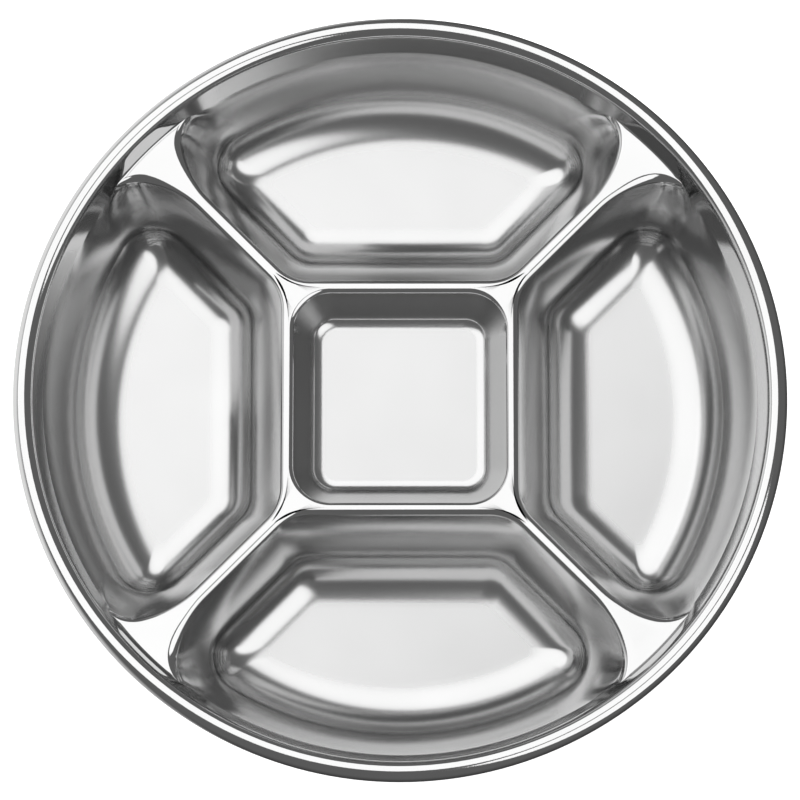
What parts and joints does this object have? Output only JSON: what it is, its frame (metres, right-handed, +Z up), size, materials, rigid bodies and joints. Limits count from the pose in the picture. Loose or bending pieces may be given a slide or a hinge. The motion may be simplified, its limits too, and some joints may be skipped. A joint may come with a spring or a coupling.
{
  "type": "divided compartment plate",
  "caption": "Round drawn steel plate with a rolled rim, fan-shaped wells around a shallower square well, and raised dividers between them.",
  "frame": {"origin": "on the plate's axis, in the plane of the undersides that stand on the table", "axes": "+Z up along the plate's axis, +Y away from the viewer through the middle of one fan well"},
  "size_m": [0.26, 0.26, 0.0472],
  "materials": {
    "stainless_sheet": "polished"
  },
  "bodies": {
    "root": {"pressed_plate": "stainless_sheet"}
  },
  "joints": []
}
